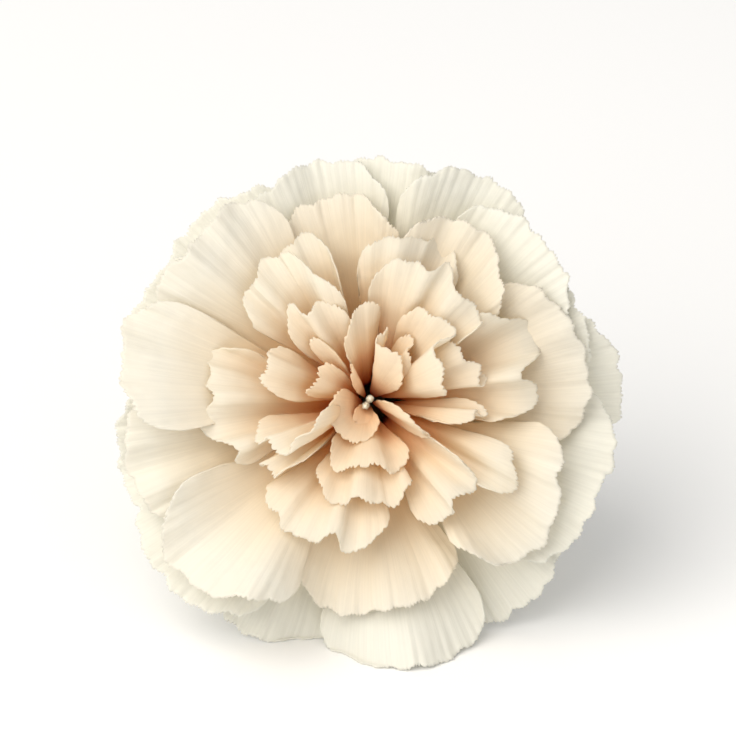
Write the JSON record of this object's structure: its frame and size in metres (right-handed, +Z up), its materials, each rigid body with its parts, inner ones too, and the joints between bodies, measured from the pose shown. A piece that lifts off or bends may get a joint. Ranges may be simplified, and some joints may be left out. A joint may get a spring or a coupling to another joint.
{
  "type": "cut carnation",
  "caption": "Fully open double carnation bloom with ruffled ivory petals, calyx, bracts and a short slant-cut stem, lying on a surface.",
  "frame": {"origin": "centre of the footprint's box, on the surface that the flower lies on", "axes": "+Z up; the bloom faces -Y and up, 30 degrees above the horizon; the stem runs back along +Y; +X to the right of the bloom as seen from its face"},
  "size_m": [0.0764, 0.0754, 0.0643],
  "materials": {
    "outer_petals": "matt ivory petal, finely veined",
    "middle_petals": "matt ivory petal, finely veined",
    "inner_petals": "matt cream petal, peach towards its foot",
    "calyx": "waxy green skin",
    "receptacle": "pale green flesh",
    "bracts": "waxy green leaf with a dry tip",
    "stem": "waxy green stem, pale at the cut",
    "styles": "translucent white"
  },
  "bodies": {
    "root": {"outer_petal_01": "outer_petals", "outer_petal_02": "outer_petals", "outer_petal_03": "outer_petals", "outer_petal_04": "outer_petals", "outer_petal_05": "outer_petals", "outer_petal_06": "outer_petals", "outer_petal_07": "outer_petals", "outer_petal_08": "outer_petals", "outer_petal_09": "outer_petals", "outer_petal_10": "outer_petals", "outer_petal_11": "outer_petals", "outer_petal_12": "outer_petals", "outer_petal_13": "outer_petals", "outer_petal_14": "outer_petals", "middle_petal_01": "middle_petals", "middle_petal_02": "middle_petals", "middle_petal_03": "middle_petals", "middle_petal_04": "middle_petals", "middle_petal_05": "middle_petals", "middle_petal_06": "middle_petals", "middle_petal_07": "middle_petals", "middle_petal_08": "middle_petals", "middle_petal_09": "middle_petals", "inner_petal_01": "inner_petals", "inner_petal_02": "inner_petals", "inner_petal_03": "inner_petals", "inner_petal_04": "inner_petals", "inner_petal_05": "inner_petals", "inner_petal_06": "inner_petals", "inner_petal_07": "inner_petals", "inner_petal_08": "inner_petals", "inner_petal_09": "inner_petals", "inner_petal_10": "inner_petals", "inner_petal_11": "inner_petals", "inner_petal_12": "inner_petals", "inner_petal_13": "inner_petals", "inner_petal_14": "inner_petals", "inner_petal_15": "inner_petals", "inner_petal_16": "inner_petals", "inner_petal_17": "inner_petals", "inner_petal_18": "inner_petals", "inner_petal_19": "inner_petals", "inner_petal_20": "inner_petals", "inner_petal_21": "inner_petals", "inner_petal_22": "inner_petals", "inner_petal_23": "inner_petals", "inner_petal_24": "inner_petals", "inner_petal_25": "inner_petals", "inner_petal_26": "inner_petals", "inner_petal_27": "inner_petals", "calyx": "calyx", "receptacle": "receptacle", "stem": "stem", "style_1": "styles", "style_2": "styles", "bract_1": "bracts", "bract_2": "bracts", "bract_3": "bracts", "bract_4": "bracts"}
  },
  "joints": []
}
